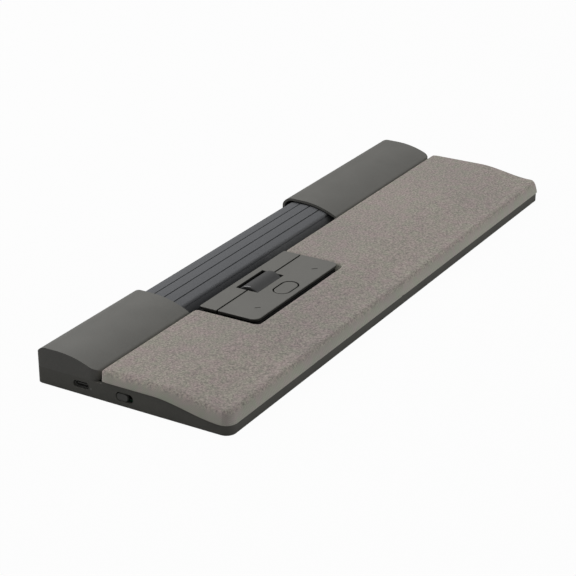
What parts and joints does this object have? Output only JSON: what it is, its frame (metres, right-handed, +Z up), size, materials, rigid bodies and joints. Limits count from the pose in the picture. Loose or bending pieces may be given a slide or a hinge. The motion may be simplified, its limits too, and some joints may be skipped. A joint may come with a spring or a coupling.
{
  "type": "slider-bar desk pointing device with wrist rest",
  "caption": "Low desk bar with a sliding ribbed belt between two covers, a key module with scroll wheel, and a fabric wrist rest.",
  "frame": {"origin": "centre of the footprint, on the desk surface under the feet", "axes": "+X towards the user's right along the length, +Y away from the user, +Z up"},
  "size_m": [0.395, 0.124, 0.0224],
  "materials": {
    "housing": "fine spark-eroded matt texture, dark warm grey",
    "cover": "fine matt texture, warm grey",
    "key": "smooth satin grey faces on black sides",
    "knob": "fine matt texture, dark warm grey",
    "inner_black": "matt black moulding",
    "knit": "fine melange woven polyester, warm grey",
    "foam": "open-cell foam, grey",
    "belt": "ribbed rubberised textile, dark blue-grey",
    "core": "smooth slippery plastic, black",
    "tyre": "smooth soft-touch rubber, charcoal",
    "steel": "zinc-plated steel",
    "port_metal": "dark nickel-plated steel",
    "component": "moulded electronic component, black",
    "board": "circuit board with green solder mask",
    "ribbon": "flat flexible cable, off-white",
    "cell": "soft foil pouch",
    "light": "translucent light guide, unlit",
    "foot": "matt elastomer"
  },
  "bodies": {
    "base": {"base_tray": "housing", "battery": "cell", "board_screws": "steel", "click_switch_left": "component", "click_switch_right": "component", "core_spring_left": "steel", "core_spring_right": "steel", "core_support_left": "inner_black", "core_support_right": "inner_black", "foot_back_left": "foot", "foot_back_middle": "foot", "foot_back_right": "foot", "foot_front_left": "foot", "foot_front_middle": "foot", "foot_front_right": "foot", "housing_screws": "steel", "key_board": "board", "left_cover": "cover", "main_board": "board", "module_frame": "inner_black", "optical_sensor": "component", "pad_carrier": "inner_black", "pad_fabric": "knit", "pad_foam": "foam", "port_board": "board", "power_switch_body": "component", "ribbon_cable": "ribbon", "right_cover": "cover", "sensor_lens": "light", "shortcut_switch_left": "component", "shortcut_switch_right": "component", "slider_switch": "component", "speed_switch": "component", "status_light": "light", "usb_receptacle": "port_metal", "wheel_encoder": "component", "wheel_switch": "component", "wrist_deck": "inner_black"},
    "slider_core": {"core_bar": "core", "core_end_left": "core", "core_end_right": "core"},
    "slider_sleeve": {"slider_belt": "belt"},
    "cradle": {"wheel_cradle": "core"},
    "scroll_wheel": {"wheel_tyre": "tyre", "wheel_hub": "core", "wheel_axle": "steel"},
    "click_key": {"click_plate": "key"},
    "shortcut_key": {"shortcut_bar": "key"},
    "speed_key": {"speed_button": "key"},
    "power_slider": {"power_knob": "knob"}
  },
  "joints": [
    {"name": "core_press", "type": "slide", "parent": "base", "child": "slider_core", "axis": [0, 0, 1], "range_m": [-0.0007, 0], "stiffness_N_per_m": 1500, "springref_m": 0.0012, "deforming": ["core_spring_left", "core_spring_right"]},
    {"name": "belt_slide", "type": "slide", "parent": "slider_core", "child": "slider_sleeve", "axis": [1, 0, 0], "range_m": [-0.02, 0.02]},
    {"name": "wheel_press", "type": "slide", "parent": "base", "child": "cradle", "axis": [0, 0, 1], "range_m": [-0.0005, 0], "stiffness_N_per_m": 1500, "springref_m": 0.0008},
    {"name": "wheel_spin", "type": "hinge", "parent": "cradle", "child": "scroll_wheel", "pos_m": [-0.0565, 0.00625, 0.0129], "axis": [1, 0, 0], "continuous": true},
    {"name": "click_rock", "type": "hinge", "parent": "base", "child": "click_key", "pos_m": [-0.0565, -0.01005, 0.0146], "axis": [0, 1, 0], "range_deg": [-1.2, 1.2], "stiffness_Nm_per_rad": 1},
    {"name": "shortcut_rock", "type": "hinge", "parent": "base", "child": "shortcut_key", "pos_m": [-0.0565, 0.01535, 0.0146], "axis": [0, 1, 0], "range_deg": [-1.2, 1.2], "stiffness_Nm_per_rad": 1},
    {"name": "speed_press", "type": "slide", "parent": "base", "child": "speed_key", "axis": [0, 0, 1], "range_m": [-0.0005, 0], "stiffness_N_per_m": 800, "springref_m": 0.0006},
    {"name": "power_slide", "type": "slide", "parent": "base", "child": "power_slider", "axis": [0, -1, 0], "range_m": [0, 0.0033]}
  ]
}
